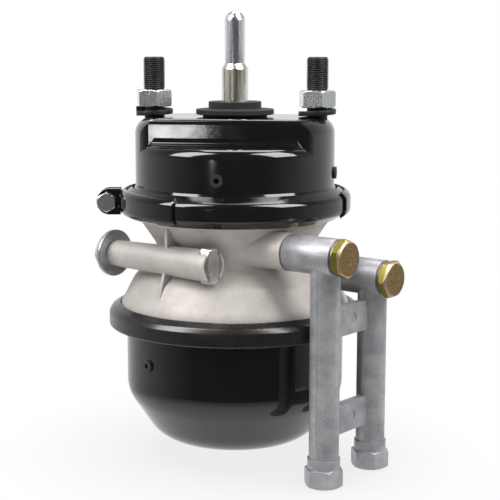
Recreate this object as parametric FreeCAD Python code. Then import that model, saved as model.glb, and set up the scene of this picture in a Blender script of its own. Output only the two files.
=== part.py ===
import FreeCAD, Part
import math
import os

V = FreeCAD.Vector

# Millimetres. The origin is the centre of the mounting face, +Z runs out along the push rod,
# and +X runs along the line of the two mounting studs.

# General clearances
thread_gap = 0.05
running_gap = 0.05
seat_gap = 0.1
free_gap = 0.3
point_tolerance = 0.005

# Travel of the push rod and of the spring piston
stroke = 60.0

# Mounting studs with their nuts and split washers
stud_circle = 120.65
stud_r = 8.0
stud_thread_depth = 0.5
stud_blank_r = stud_r - stud_thread_depth
stud_top = 43.0
stud_chamfer = 1.0
stud_head = 5.0
stud_head_half_width = stud_r
stud_head_inner = stud_r + 3.0
stud_head_outer = 4.2
nut_flats = 24.0
nut_height = 12.4
nut_chamfer_deg = 30.0
nut_face_edge = 0.3
stud_nut_turn = 50.0
washer_height = 6.9
stud_thread_foot = washer_height + nut_height + thread_gap
washer_plate = 3.5
washer_width = 5.3
washer_inner_r = stud_r + free_gap
washer_outer_r = washer_inner_r + washer_width
washer_sweep = 350.0
left_washer_turn = 200.0
right_washer_turn = 120.0

# Service housing
stud_edge = 12.675
housing_r = stud_circle / 2 + stud_edge
housing_sheet = 3.0
pad_sheet = 4.0
pad_half_width = 42.0
pad_height = 19.0
pad_end_round = 12.0
pad_end_round_inside = 5.0
pad_edge_round = 4.0
pad_side_round = 9.0
pad_foot_round = 5.5
shoulder_round = 7.0
shoulder_round_inside = shoulder_round - housing_sheet

# Upper joint, where the clamp band holds housing, diaphragm and body together
joint_z = -62.0
bead_height = 4.5
bead_inner_r = housing_r - 1.0
rim_r = housing_r + 8.0
rim_edge = 2.4
rim_rise = 4.0
rim_neck_r = housing_r + 2.0
rim_neck_round = 2.0
band_sheet = 2.0
band_side_gap = 0.6
band_r = rim_r + band_sheet + band_side_gap
band_lip_r = rim_neck_r + band_side_gap
band_shoulder_round = 4.5
strap_sheet = 1.6
joint_angle = 190.0
joint_half_gap_deg = 2.6
front_strap_deg = 60.0
far_strap_deg = 21.0

# Clamp lugs, bolt and nut
lug_gap = 6.0
lug_plate = 4.0
lug_height = 19.0
lug_bolt_reach = 10.4
lug_bolt_r = band_r + lug_bolt_reach
lug_tip_r = lug_bolt_r + 7.5
clamp_shank_r = 4.0
clamp_flats = 13.0
clamp_head = 5.3
clamp_nut_height = 6.5
clamp_tail = 4.0
clamp_turn = 30.0

# Service push rod and plate, at the applied position
rod_r = 9.75
rod_nose_r = rod_r - 2.25
released_tip_z = 16.0
rod_tip_z = released_tip_z + stroke
nose_cone_top = 38.2
nose_cone_foot = nose_cone_top - 3.9
released_plate_z = joint_z - 23.0
plate_top_z = released_plate_z + stroke
plate_sheet = 4.0
plate_r = 46.0
plate_rim = 6.0
plate_round = 3.0
membrane = 3.0
service_roll_r = housing_r - housing_sheet - 2 * membrane

# Gaiter of the push rod
gaiter_disc_r = rod_r + 9.55
gaiter_hole_r = gaiter_disc_r + 3.7
gaiter_foot_r = gaiter_hole_r + 0.5
gaiter_foot = 1.5
gaiter_flange_r = gaiter_hole_r + 5.5
gaiter_flange = 4.0
gaiter_disc = 5.5
gaiter_lip_r = gaiter_hole_r + 3.0
gaiter_lip = 2.5
gaiter_round = 0.8

# Return spring
return_wire_r = 1.8
return_top_r = gaiter_lip_r + 3.5
return_wall_gap = 1.2
return_foot_r = pad_half_width - housing_sheet - return_wire_r - return_wall_gap
return_turns = 3.5

# Cast flange body, from the upper rim down
waist_r = housing_r - 15.5
upper_flare_r = waist_r + 11.0
upper_flare_z = joint_z - 15.0
waist_top_z = upper_flare_z - 16.5
waist_foot_z = waist_top_z - 9.5
lower_flare_r = waist_r + 16.5
lower_flare_z = waist_foot_z - 13.5
body_skirt_r = lower_flare_r + 10.3
body_skirt_z = lower_flare_z - 19.5
waist_round = 16.0
waist_foot_round = 8.0
flare_round = 8.0
cup_wall = 7.5
service_cup_mouth_r = housing_r - 4.0
service_cup_wall_r = upper_flare_r - cup_wall
service_cup_wall_z = upper_flare_z - 2.0
service_cup_floor_r = waist_r - 4.0
service_cup_floor_z = waist_top_z - 0.5
cup_round = 7.0
spring_cup_roof_z = waist_foot_z - 6.0
spring_cup_roof_r = waist_r - 0.5
spring_cup_wall_r = lower_flare_r - 5.5
spring_cup_wall_z = lower_flare_z - 1.5
spring_cup_mouth_r = body_skirt_r - 7.3
spring_cup_mouth_z = body_skirt_z + 3.0

# Lower joint, where the crimped ring holds body, diaphragm and spring housing together
lower_rim_r = body_skirt_r + 6.2
lower_rim_top_z = body_skirt_z - 5.5
lower_seat_z = lower_rim_top_z - 1.0
lower_bead = 4.5
pot_sheet = 3.0
ring_sheet = 2.5
ring_side_gap = 0.4
ring_r = lower_rim_r + ring_sheet + ring_side_gap
ring_top_r = body_skirt_r + 2 * free_gap
ring_top_z = body_skirt_z + 0.4
ring_shoulder_r = lower_rim_r + 0.7
ring_shoulder_z = ring_top_z - 3.6
ring_side_z = lower_seat_z
ring_edge_z = lower_seat_z - lower_bead - pot_sheet - ring_sheet
ring_round = 1.6
ring_shoulder_round = 3.2
ring_lip_round = 0.8

# Spring housing
pot_r = body_skirt_r - 3.7
pot_corner_round = 27.0
pot_cone_r = pot_r - 25.0
pot_floor_z = -239.1
pot_corner_z = pot_floor_z + 37.4
pot_floor_round = 28.0
pot_neck_round = 3.0
lower_bead_inner_r = pot_r - 0.6
ring_lip_r = pot_r + 3.9

# Centre rod, bush and seals
centre_rod_r = 11.0
centre_pad_r = centre_rod_r + 9.0
centre_pad = 4.0
centre_collar_r = centre_rod_r + 6.0
centre_collar = 3.0
seal_height = 3.0
bush_height = 14.0
web_bore_r = centre_rod_r + 2.0
web_boss_r = web_bore_r + 7.0
web_boss_foot_z = spring_cup_roof_z - 10.5
pad_recess_r = centre_pad_r + 2.5
pad_recess_z = service_cup_floor_z - 3.5

# Release bolt, washer and nut
release_r = 8.0
release_head = 8.0
release_head_half_length = release_r + 4.2
release_head_half_width = 6.6
release_head_end_half_width = 3.8
release_head_proud = 0.5
release_head_round = 1.0
release_tail = 2.0
release_washer = 3.0
release_washer_r = 2 * release_r + 1.0
release_nut = 6.5
release_nut_turn = 30.0

# Spring piston, power spring and spring diaphragm, at the applied position
piston_top_z = spring_cup_roof_z - 8.0
piston_sheet = 4.0
piston_r = spring_cup_wall_r - 10.5
piston_rim = 7.0
piston_dish = 10.0
piston_round = 3.0
socket_bore_r = release_head_half_length + 1.8
socket_r = socket_bore_r + 5.0
socket_length = 25.0
socket_floor = 6.0
piston_dish_r = socket_r + 5.0
power_wire_r = 6.0
power_top_r = piston_r - piston_sheet - power_wire_r - 1.0
power_foot_r = pot_cone_r - 17.6
power_turns = 4.75
spring_roll_r = piston_r + 3.5

# Ports: two parallel arms, turned from the stud line
port_angle = -30.0
port_half_spacing = 28.3
service_port_z = waist_top_z + 4.0
spring_port_z = service_port_z - 21.5
port_face = waist_r + 16.0
barrel_r = 13.0
port_boss_r = barrel_r + 0.4
port_boss_root = waist_r - 29.5
port_boss_root_r = port_boss_r + 8.5
port_boss_bend = waist_r - 14.6
port_boss_flare = 64.0
port_channel_r = 5.0
port_thread_depth = 9.5
port_channel_root = waist_r - 17.5

# Port adapter with its banjo bolts and seals
seal_plate = 1.5
tube_r = 10.4
tube_axis = ring_r + tube_r
barrel_start = port_face + seal_plate
barrel_end_reach = tube_r + seat_gap
barrel_length = tube_axis + barrel_end_reach - barrel_start
tube_foot_z = -230.0
collar_r = tube_r + 1.0
collar_height = 7.0
hex_height = 13.0
port_flats = 24.0
port_hex_turn = 20.0
port_bore_r = 7.25
port_bore_depth = 14.0
tube_bore_r = 4.5
parting_rib_half = 0.8
parting_rib_proud = 0.3
bridge_plate = 6.0
bridge_height = 21.0
upper_bridge_top_z = spring_port_z - 15.0
lower_bridge_top_z = upper_bridge_top_z - 69.5
ejector_r = 4.5
ejector_depth = 0.6
banjo_r = 8.0
banjo_flats = 24.0
banjo_face_edge = 0.8
banjo_chamfer_deg = 38.0
banjo_head = 7.5
banjo_reach = 8.0
banjo_bore_r = banjo_r - 4.0
banjo_cross_r = banjo_bore_r - 1.0
barrel_groove_r = banjo_r + 2.5
barrel_groove = 16.0
service_banjo_turn = 6.0
spring_banjo_turn = 35.0

# Pocket on the body that stores the release bolt
pocket_offset = waist_r + 8.5
pocket_z = waist_top_z - 5.5
pocket_left = -58.5
pocket_right = 36.0
pocket_bore_r = release_r + free_gap
pocket_shell = 1.2
pocket_left_r = pocket_bore_r + pocket_shell
pocket_mouth_r = pocket_bore_r + pocket_shell
pocket_right_r = pocket_mouth_r + 1.9
saddle_half_height = 6.0
saddle_left = -24.0
saddle_right = pocket_right - 2.0
saddle_foot = saddle_right - 7.0
saddle_root = waist_r - 12.5
rib_middle = -4.3
rib_half = 1.3
rib_top_reach = pocket_offset + 4.5
rib_foot_reach = body_skirt_r - 4.7
rib_foot_z = body_skirt_z + 7.5

# Vents and plugs
vent_r = 3.2
vent_flange_r = vent_r + 1.2
vent_flange = 1.8
vent_hole_r = vent_r - 1.3
vent_z = -40.0
service_vent_angles = (-90.0, 0.0)
spring_vent_angle = -130.0
spring_vent_z = ring_edge_z - 21.9
release_hole_r = release_head_half_length + 1.8
dust_flange_r = release_hole_r + 5.0
dust_flange = 2.5
dust_round = 0.8

Z_AXIS = V(0, 0, 1)
X_AXIS = V(1, 0, 0)
Y_AXIS = V(0, 1, 0)
CENTRE = V(0, 0, 0)


def rounded_wire(corners):
    """Closed wire in the XZ plane through (x, z, round) corners, each corner rounded."""
    count = len(corners)
    starts = []
    ends = []
    mids = []
    for i in range(count):
        x, z, radius = corners[i]
        corner = V(x, 0, z)
        before = V(corners[i - 1][0], 0, corners[i - 1][1]) - corner
        after = V(corners[(i + 1) % count][0], 0, corners[(i + 1) % count][1]) - corner
        before.normalize()
        after.normalize()
        half = before.getAngle(after) / 2
        if radius > 0:
            reach = radius / math.tan(half)
            inward = before + after
            inward.normalize()
            starts.append(corner + before * reach)
            ends.append(corner + after * reach)
            mids.append(corner + inward * (radius / math.sin(half) - radius))
        else:
            starts.append(corner)
            ends.append(corner)
            mids.append(None)
    edges = []
    for i in range(count):
        if mids[i] is not None:
            edges.append(Part.Arc(starts[i], mids[i], ends[i]).toShape())
        following = starts[(i + 1) % count]
        if ends[i].distanceToPoint(following) > point_tolerance:
            edges.append(Part.makeLine(ends[i], following))
    return Part.Wire(Part.__sortEdges__(edges))


def turned(corners, start=0.0, sweep=360.0):
    """Solid of revolution about Z from rounded corners given as (radius, z, round)."""
    face = Part.Face(rounded_wire(corners))
    face.rotate(CENTRE, Z_AXIS, start)
    return face.revolve(CENTRE, Z_AXIS, sweep)


def disc(radius, low, high, x=0.0, y=0.0):
    return Part.makeCylinder(radius, high - low, V(x, y, low), Z_AXIS)


def box(x_low, x_high, y_low, y_high, z_low, z_high):
    return Part.makeBox(x_high - x_low, y_high - y_low, z_high - z_low, V(x_low, y_low, z_low))


def bar_x(radius, low, high, y, z):
    return Part.makeCylinder(radius, high - low, V(low, y, z), X_AXIS)


def hexagon(flats, low, high, turn=0.0, face_edge=nut_face_edge, chamfer=nut_chamfer_deg):
    """Hexagonal prism on the Z axis with both ends chamfered as on a machined nut."""
    corner_r = flats / math.sqrt(3)
    points = []
    for i in range(7):
        angle = math.radians(60 * i + turn)
        points.append(V(corner_r * math.cos(angle), corner_r * math.sin(angle), low))
    prism = Part.Face(Part.makePolygon(points)).extrude(V(0, 0, high - low))
    face_r = flats / 2 - face_edge
    drop = (corner_r - face_r) * math.tan(math.radians(chamfer))
    blank = turned([
        (0, low, 0),
        (face_r, low, 0),
        (corner_r, low + drop, 0),
        (corner_r, high - drop, 0),
        (face_r, high, 0),
        (0, high, 0),
    ])
    return prism.common(blank)


def along_x(shape):
    """Turns a shape built on +Z so that it lies along +X."""
    shape.rotate(CENTRE, Y_AXIS, 90)
    return shape


def port_frame(shape):
    """Turns a shape built with +X along the port arms into the frame of the part."""
    shape.rotate(CENTRE, Z_AXIS, port_angle)
    return shape


def joint_frame(shape):
    """Turns a shape built with +X towards the bolted clamp joint into the frame of the part."""
    shape.rotate(CENTRE, Z_AXIS, joint_angle)
    return shape


def fused(shapes):
    whole = shapes[0]
    for shape in shapes[1:]:
        whole = whole.fuse(shape)
    return whole.removeSplitter()


def rounded_edges(shape, radius, wanted):
    edges = [edge for edge in shape.Edges if wanted(edge)]
    return shape.makeFillet(radius, edges)


def pad_outline(radius, half_width, corner):
    """Plan of the pad: two flat sides and two round ends, joined by tangent corners."""
    level = half_width - corner
    reach = math.sqrt((radius - corner) ** 2 - level ** 2)
    turn = math.atan2(level, reach)
    blend = (math.pi / 2 + turn) / 2

    def at(x_sign, y_sign, centre, length, angle):
        across, along = centre
        return V(x_sign * (across + length * math.cos(angle)),
                 y_sign * (along + length * math.sin(angle)), 0)

    def corner_arc(x_sign, y_sign):
        centre = (reach, level)
        return Part.Arc(at(x_sign, y_sign, centre, corner, turn),
                        at(x_sign, y_sign, centre, corner, blend),
                        at(x_sign, y_sign, centre, corner, math.pi / 2)).toShape()

    edges = []
    for sign in (-1, 1):
        edges.append(Part.Arc(at(sign, 1, (0, 0), radius, turn), V(sign * radius, 0, 0),
                              at(sign, -1, (0, 0), radius, turn)).toShape())
        edges.append(Part.makeLine(V(-reach, sign * half_width, 0),
                                   V(reach, sign * half_width, 0)))
        edges.append(corner_arc(sign, 1))
        edges.append(corner_arc(sign, -1))
    return Part.Wire(Part.__sortEdges__(edges))


def pad_block(radius, half_width, top, foot, end_round, side_round, edge_round):
    """Oblong mounting pad: round ends, flat sides, all upper edges rounded."""
    plan = Part.Face(pad_outline(radius, half_width, side_round))
    plan.translate(V(0, 0, foot))
    pad = plan.extrude(V(0, 0, top - foot))
    pad = rounded_edges(pad, edge_round, lambda edge: edge.BoundBox.ZMin > top - seat_gap)
    blank = turned([(0, foot, 0), (radius, foot, 0), (radius, top, end_round), (0, top, 0)])
    return pad.common(blank)


def housing_form(inset):
    """Outer form of the service housing, or with an inset the form of the space inside."""
    radius = housing_r - inset
    ledge = -pad_height - inset
    top = -pad_sheet if inset else 0.0
    end_round = pad_end_round_inside if inset else pad_end_round
    shoulder = shoulder_round_inside if inset else shoulder_round
    foot = joint_z + bead_height / 2
    drum = turned([(0, foot, 0), (radius, foot, 0), (radius, ledge, shoulder), (0, ledge, 0)])
    pad = pad_block(radius, pad_half_width - inset, top, ledge - shoulder, end_round,
                    pad_side_round - inset, pad_edge_round - inset)
    return fused([drum, pad])


def pad_foot():
    """Hollow rounding where the pad's flat sides stand on the ledge of the drum."""
    level = -pad_height
    lean = pad_foot_round * (1 - math.sqrt(0.5))
    side = pad_half_width
    top = V(0, side, level + pad_foot_round)
    middle = V(0, side + lean, level + lean)
    foot = V(0, side + pad_foot_round, level)
    corner = V(0, side + pad_foot_round, level - pad_foot_round)
    below = V(0, side - pad_foot_round, level - pad_foot_round)
    back = V(0, side - pad_foot_round, level + pad_foot_round)
    edges = [Part.makeLine(back, top), Part.Arc(top, middle, foot).toShape()]
    for start, end in ((foot, corner), (corner, below), (below, back)):
        edges.append(Part.makeLine(start, end))
    bar = Part.Face(Part.Wire(edges)).extrude(V(2 * housing_r, 0, 0))
    bar.translate(V(-housing_r, 0, 0))
    limit = turned([
        (0, level - shoulder_round, 0),
        (housing_r, level - shoulder_round, 0),
        (housing_r - shoulder_round, level + pad_foot_round, 0),
        (0, level + pad_foot_round, 0),
    ])
    near = bar.common(limit)
    return [near, near.mirror(CENTRE, Y_AXIS)]


def service_housing():
    seat = joint_z + bead_height / 2
    rim_top = seat + rim_edge
    rim = turned([
        (housing_r - housing_sheet, seat, 0),
        (rim_r, seat, 0),
        (rim_r, rim_top, 0),
        (rim_neck_r, rim_top + rim_rise, rim_neck_round),
        (housing_r - seat_gap, rim_top + 2 * rim_rise, 0),
        (housing_r - housing_sheet, rim_top + 2 * rim_rise, 0),
    ])
    shell = fused([housing_form(0), rim] + pad_foot()).cut(housing_form(housing_sheet))
    shell = shell.cut(disc(gaiter_hole_r, -2 * pad_sheet, pad_sheet))
    for side in (-1, 1):
        x = side * stud_circle / 2
        shell = shell.cut(disc(stud_blank_r, -2 * pad_sheet, pad_sheet, x))
    for angle in service_vent_angles:
        hole = bar_x(vent_r, housing_r - 2 * housing_sheet, housing_r + housing_sheet, 0, vent_z)
        hole.rotate(CENTRE, Z_AXIS, angle)
        shell = shell.cut(hole)
    return shell


def vent_plug(outer_r, sheet, angle, z):
    """Rubber breather plug pressed through a housing wall, with a small hole."""
    stem = bar_x(vent_r, outer_r - sheet - vent_flange, outer_r, 0, z)
    flange = bar_x(vent_flange_r, outer_r, outer_r + vent_flange, 0, z)
    plug = fused([stem, flange]).cut(bar_x(vent_hole_r, 0, outer_r + 2 * vent_flange, 0, z))
    plug.rotate(CENTRE, Z_AXIS, angle)
    return plug


def mounting_stud(side):
    """Stud with a rectangular head inside the pad.

    The free thread stands at its crest, the length inside pad and nut at the rolled blank.
    """
    x = side * stud_circle / 2
    blank = disc(stud_blank_r, -pad_sheet, stud_thread_foot, x)
    tip_foot = stud_top - stud_chamfer
    crest = disc(stud_r, stud_thread_foot, tip_foot, x)
    tip = Part.makeCone(stud_r, stud_r - stud_chamfer, stud_chamfer, V(x, 0, tip_foot), Z_AXIS)
    ends = sorted((x - side * stud_head_inner, x + side * stud_head_outer))
    head = box(ends[0], ends[1], -stud_head_half_width, stud_head_half_width,
               -pad_sheet - stud_head, -pad_sheet)
    return fused([blank, crest, tip, head])


def stud_nut(side):
    nut = hexagon(nut_flats, washer_height, washer_height + nut_height, stud_nut_turn)
    nut = nut.cut(disc(stud_blank_r + thread_gap, 0, stud_top))
    nut.translate(V(side * stud_circle / 2, 0, 0))
    return nut


def split_washer(side):
    """Spring washer: one turn of a flat bar, its two ends apart in height."""
    rise = washer_height - washer_plate
    mean_r = (washer_inner_r + washer_outer_r) / 2
    path = Part.Wire(Part.makeHelix(rise * 360 / washer_sweep, rise, mean_r).Edges)
    half = (washer_outer_r - washer_inner_r) / 2
    corners = [
        V(mean_r - half, 0, 0),
        V(mean_r + half, 0, 0),
        V(mean_r + half, 0, washer_plate),
        V(mean_r - half, 0, washer_plate),
        V(mean_r - half, 0, 0),
    ]
    washer = path.makePipeShell([Part.makePolygon(corners)], True, True)
    washer.rotate(CENTRE, Z_AXIS, left_washer_turn if side < 0 else right_washer_turn)
    washer.translate(V(side * stud_circle / 2, 0, 0))
    return washer


def rod_gaiter():
    bore = rod_r + running_gap
    flange_top = gaiter_foot + gaiter_flange
    inside = -pad_sheet - gaiter_lip
    return turned([
        (bore, inside, 0),
        (gaiter_lip_r, inside, 0),
        (gaiter_lip_r, -pad_sheet, 0),
        (gaiter_hole_r, -pad_sheet, 0),
        (gaiter_hole_r, 0, 0),
        (gaiter_foot_r, 0, 0),
        (gaiter_foot_r, gaiter_foot, 0),
        (gaiter_flange_r, gaiter_foot, gaiter_round),
        (gaiter_flange_r, flange_top, gaiter_round),
        (gaiter_disc_r, flange_top, gaiter_round),
        (gaiter_disc_r, flange_top + gaiter_disc, gaiter_round),
        (bore, flange_top + gaiter_disc, 0),
    ])


def service_push_rod():
    return turned([
        (0, plate_top_z - plate_sheet, 0),
        (rod_r, plate_top_z - plate_sheet, 0),
        (rod_r, nose_cone_foot, 0),
        (rod_nose_r, nose_cone_top, 0),
        (rod_nose_r, rod_tip_z, rod_nose_r - seat_gap),
        (0, rod_tip_z, 0),
    ])


def service_push_plate():
    foot = plate_top_z - plate_sheet
    collar_r = rod_r + plate_sheet
    return turned([
        (rod_r, foot, 0),
        (plate_r, foot, plate_round),
        (plate_r, plate_top_z + plate_rim - plate_sheet, 0),
        (plate_r - plate_sheet / 2, plate_top_z + plate_rim - plate_sheet, 0),
        (plate_r - plate_sheet / 2, plate_top_z, 0),
        (collar_r, plate_top_z, 0),
        (collar_r, plate_top_z + plate_rim, 0),
        (rod_r, plate_top_z + plate_rim, 0),
    ])


def coil_spring(wire_r, low_r, high_r, low, high, turns):
    """Conical coil spring that fills the height from low to high."""
    height = high - low - 2 * wire_r
    lean = math.degrees(math.atan2(high_r - low_r, height))
    path = Part.Wire(Part.makeHelix(height / turns, height, low_r, lean).Edges)
    section = Part.Wire(Part.makeCircle(wire_r, V(low_r, 0, 0), Y_AXIS))
    spring = path.makePipeShell([section], True, True)
    spring.translate(V(0, 0, low + wire_r))
    return spring


def service_return_spring():
    return coil_spring(return_wire_r, return_foot_r, return_top_r, plate_top_z, -pad_sheet,
                       return_turns)


def service_diaphragm():
    """Moulded diaphragm, rolled up along the housing wall and flat under the plate."""
    upper = joint_z + bead_height / 2
    lower = joint_z - bead_height / 2
    crown = plate_top_z - plate_sheet
    wall_r = housing_r - housing_sheet - 2 * free_gap
    return turned([
        (0, crown, 0),
        (plate_r, crown, 0),
        (service_roll_r, crown - membrane, membrane),
        (wall_r, upper, 0),
        (rim_r, upper, 0),
        (rim_r, lower, 0),
        (bead_inner_r - membrane, lower, 0),
        (wall_r - membrane, upper, membrane),
        (service_roll_r - membrane, crown - 2 * membrane, membrane),
        (plate_r, crown - membrane, 0),
        (0, crown - membrane, 0),
    ])


def band_corners(outer_r, sheet):
    """Section of the V-shaped clamp band, or of a strap that lies over it."""
    flank = (rim_r - rim_neck_r) / rim_rise
    slope_height = (outer_r - sheet - band_lip_r) / flank
    side = bead_height / 2 + rim_edge + (outer_r - band_r) / flank
    slant = sheet * math.hypot(1, 1 / flank)
    return [
        (outer_r - sheet, joint_z - side, 0),
        (band_lip_r, joint_z - side - slope_height, 0),
        (band_lip_r, joint_z - side - slope_height - slant, 0),
        (outer_r, joint_z - side - sheet / 2, band_shoulder_round),
        (outer_r, joint_z + side + sheet / 2, band_shoulder_round),
        (band_lip_r, joint_z + side + slope_height + slant, 0),
        (band_lip_r, joint_z + side + slope_height, 0),
        (outer_r - sheet, joint_z + side, 0),
    ]


def clamp_band_half(start):
    corners = band_corners(band_r, band_sheet)
    return joint_frame(turned(corners, start + joint_half_gap_deg,
                              180 - 2 * joint_half_gap_deg))


def strap_corners():
    """Strap section: the band's own outline, moved out by the thickness of the strap."""
    band = band_corners(band_r, band_sheet)
    low_lip, low_shoulder, high_shoulder, high_lip = band[2:6]
    lip_r = band_lip_r + 3 * strap_sheet
    slope = (low_shoulder[1] - low_lip[1]) / (low_shoulder[0] - low_lip[0])
    lift = strap_sheet * math.hypot(1, slope)
    low_z = low_lip[1] + slope * (lip_r - band_lip_r) - running_gap
    high_z = high_lip[1] - slope * (lip_r - band_lip_r) + running_gap
    inner_r = band_r + running_gap
    outer_r = band_r + strap_sheet
    return [
        (lip_r, low_z, 0),
        (lip_r, low_z - lift, 0),
        (outer_r, low_shoulder[1] - lift / 2, band_shoulder_round + strap_sheet),
        (outer_r, high_shoulder[1] + lift / 2, band_shoulder_round + strap_sheet),
        (lip_r, high_z + lift, 0),
        (lip_r, high_z, 0),
        (inner_r, high_shoulder[1], band_shoulder_round),
        (inner_r, low_shoulder[1], band_shoulder_round),
    ]


def clamp_lug(side, strap_deg):
    """Bolting lug: a strap along the band with a plate that stands out at the joint."""
    start = joint_half_gap_deg if side > 0 else -strap_deg
    strap = turned(strap_corners(), start, strap_deg - joint_half_gap_deg)
    near = lug_gap / 2
    far = near + lug_plate
    y_low, y_high = sorted((side * near, side * far))
    tip_centre = lug_tip_r - lug_height / 2
    plate = box(band_r + strap_sheet / 4, tip_centre, y_low, y_high,
                joint_z - lug_height / 2, joint_z + lug_height / 2)
    tip = Part.makeCylinder(lug_height / 2, lug_plate, V(tip_centre, y_low, joint_z), Y_AXIS)
    hole = Part.makeCylinder(clamp_shank_r + thread_gap, 2 * far, V(lug_bolt_r, -far, joint_z),
                             Y_AXIS)
    inside = disc(band_r + strap_sheet / 4, joint_z - lug_height, joint_z + lug_height)
    ears = plate.fuse(tip).cut(inside)
    return joint_frame(fused([strap, ears]).cut(hole))


def clamp_far_strap():
    return joint_frame(turned(strap_corners(), 180 - far_strap_deg, 2 * far_strap_deg))


def clamp_axis(shape):
    """Moves a shape built on +Z to the clamp bolt's axis, +Z towards the head."""
    shape.rotate(CENTRE, X_AXIS, -90)
    shape.translate(V(lug_bolt_r, 0, joint_z))
    return joint_frame(shape)


def clamp_bolt():
    seat = lug_gap / 2 + lug_plate
    shank = disc(clamp_shank_r, -seat - clamp_nut_height - clamp_tail, seat)
    return clamp_axis(fused([shank, hexagon(clamp_flats, seat, seat + clamp_head, clamp_turn)]))


def clamp_nut():
    seat = lug_gap / 2 + lug_plate
    nut = hexagon(clamp_flats, -seat - clamp_nut_height, -seat, clamp_turn)
    return clamp_axis(nut.cut(disc(clamp_shank_r + thread_gap, -2 * seat - clamp_nut_height, 0)))


def body_outside():
    """Hourglass outside of the casting, from the upper rim to the lower rim."""
    seat = joint_z - bead_height / 2
    rim_foot = seat - rim_edge
    return turned([
        (0, seat, 0),
        (rim_r, seat, 0),
        (rim_r, rim_foot, 0),
        (rim_neck_r, rim_foot - rim_rise, rim_neck_round),
        (upper_flare_r, upper_flare_z, flare_round),
        (waist_r, waist_top_z, waist_round),
        (waist_r, waist_foot_z, waist_foot_round),
        (lower_flare_r, lower_flare_z, waist_round),
        (body_skirt_r, body_skirt_z, 0),
        (body_skirt_r, ring_top_z - ring_sheet, 0),
        (lower_rim_r, lower_rim_top_z, 0),
        (lower_rim_r, lower_seat_z, 0),
        (0, lower_seat_z, 0),
    ])


def service_cup():
    """Space under the service diaphragm, with the recess for the centre rod's pad."""
    seat = joint_z - bead_height / 2
    cup = turned([
        (0, seat, 0),
        (service_cup_mouth_r, seat, 0),
        (service_cup_wall_r, service_cup_wall_z, cup_round),
        (service_cup_floor_r, service_cup_floor_z, cup_round),
        (0, service_cup_floor_z, 0),
    ])
    return cup.fuse(disc(pad_recess_r, pad_recess_z, service_cup_floor_z))


def spring_cup():
    """Space over the spring diaphragm, around the boss that guides the centre rod."""
    cup = turned([
        (0, spring_cup_roof_z, 0),
        (spring_cup_roof_r, spring_cup_roof_z, cup_round),
        (spring_cup_wall_r, spring_cup_wall_z, cup_round),
        (spring_cup_mouth_r, spring_cup_mouth_z, cup_round),
        (spring_cup_mouth_r, lower_seat_z, 0),
        (0, lower_seat_z, 0),
    ])
    return cup.cut(disc(web_boss_r, web_boss_foot_z, spring_cup_roof_z))


def port_boss(side, z):
    """Port arm of the casting, flared where it grows out of the body."""
    boss = turned([
        (0, port_boss_root, 0),
        (port_boss_root_r, port_boss_root, 0),
        (port_boss_r, port_boss_bend, port_boss_flare),
        (port_boss_r, port_face, 0),
        (0, port_face, 0),
    ])
    boss = along_x(boss)
    boss.translate(V(0, side * port_half_spacing, z))
    return boss


def port_channel(side, z):
    y = side * port_half_spacing
    channel = bar_x(port_channel_r, port_channel_root, port_face, y, z)
    thread = bar_x(banjo_r + thread_gap, port_face - port_thread_depth, port_face, y, z)
    return channel.fuse(thread)


def bolt_pocket():
    """Conical tube cast across the front of the body, with its saddle and two ribs."""
    tube = Part.makeCone(pocket_left_r, pocket_right_r, pocket_right - pocket_left,
                         V(pocket_left, -pocket_offset, pocket_z), X_AXIS)
    low = pocket_z - saddle_half_height
    back = -pocket_offset + pocket_right_r - 2 * pocket_shell
    plan = [
        V(saddle_left, -pocket_offset, low),
        V(saddle_right, -pocket_offset, low),
        V(saddle_right, back, low),
        V(saddle_foot, -saddle_root, low),
        V(saddle_left, -saddle_root, low),
        V(saddle_left, -pocket_offset, low),
    ]
    saddle = Part.Face(Part.makePolygon(plan)).extrude(V(0, 0, 2 * saddle_half_height))
    seat = joint_z - bead_height / 2 - rim_edge - rim_rise
    side = rib_middle - rib_half
    outline = [
        V(side, -saddle_root, seat),
        V(side, -rib_top_reach, seat),
        V(side, -rib_top_reach, pocket_z),
        V(side, -rib_foot_reach, rib_foot_z),
        V(side, -saddle_root, rib_foot_z),
        V(side, -saddle_root, seat),
    ]
    rib = Part.Face(Part.makePolygon(outline)).extrude(V(2 * rib_half, 0, 0))
    return [tube, saddle, rib]


def pocket_bore():
    """Bore of the pocket, with its wider mouth and the notch for the bolt's head."""
    bore = bar_x(pocket_bore_r, pocket_left, pocket_right, -pocket_offset, pocket_z)
    notch_floor = pocket_right - release_head + release_head_proud
    mouth = bar_x(pocket_mouth_r, notch_floor, pocket_right, -pocket_offset, pocket_z)
    half = release_head_half_width + free_gap
    length = release_head_half_length + free_gap
    notch = box(notch_floor, pocket_right, -pocket_offset - half, -pocket_offset + half,
                pocket_z - length, pocket_z + length)
    return fused([bore, mouth, notch])


def flange_body():
    """Die-cast body: hourglass shell, web and boss, two port arms, bolt pocket and ribs."""
    outside = fused([port_frame(shape) for shape in (
        [body_outside(), port_boss(-1, service_port_z), port_boss(1, spring_port_z)]
        + bolt_pocket())])
    inside = [service_cup(), spring_cup(), disc(web_bore_r, web_boss_foot_z, pad_recess_z)]
    inside.append(port_frame(port_channel(-1, service_port_z)))
    inside.append(port_frame(port_channel(1, spring_port_z)))
    inside.append(port_frame(pocket_bore()))
    for space in inside:
        outside = outside.cut(space)
    return outside.removeSplitter()


def centre_rod_bush():
    middle = (pad_recess_z + web_boss_foot_z) / 2
    low = middle - bush_height / 2
    bore = centre_rod_r + running_gap
    return disc(web_bore_r, low, low + bush_height).cut(disc(bore, low, low + bush_height))


def centre_rod_seal(side):
    middle = (pad_recess_z + web_boss_foot_z) / 2
    near = middle + side * bush_height / 2
    low, high = sorted((near, near + side * seal_height))
    bore = centre_rod_r + running_gap
    return turned([
        (bore, low, 0),
        (web_bore_r, low, 0),
        (web_bore_r, high, 0),
        (bore, high, 0),
    ])


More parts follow.
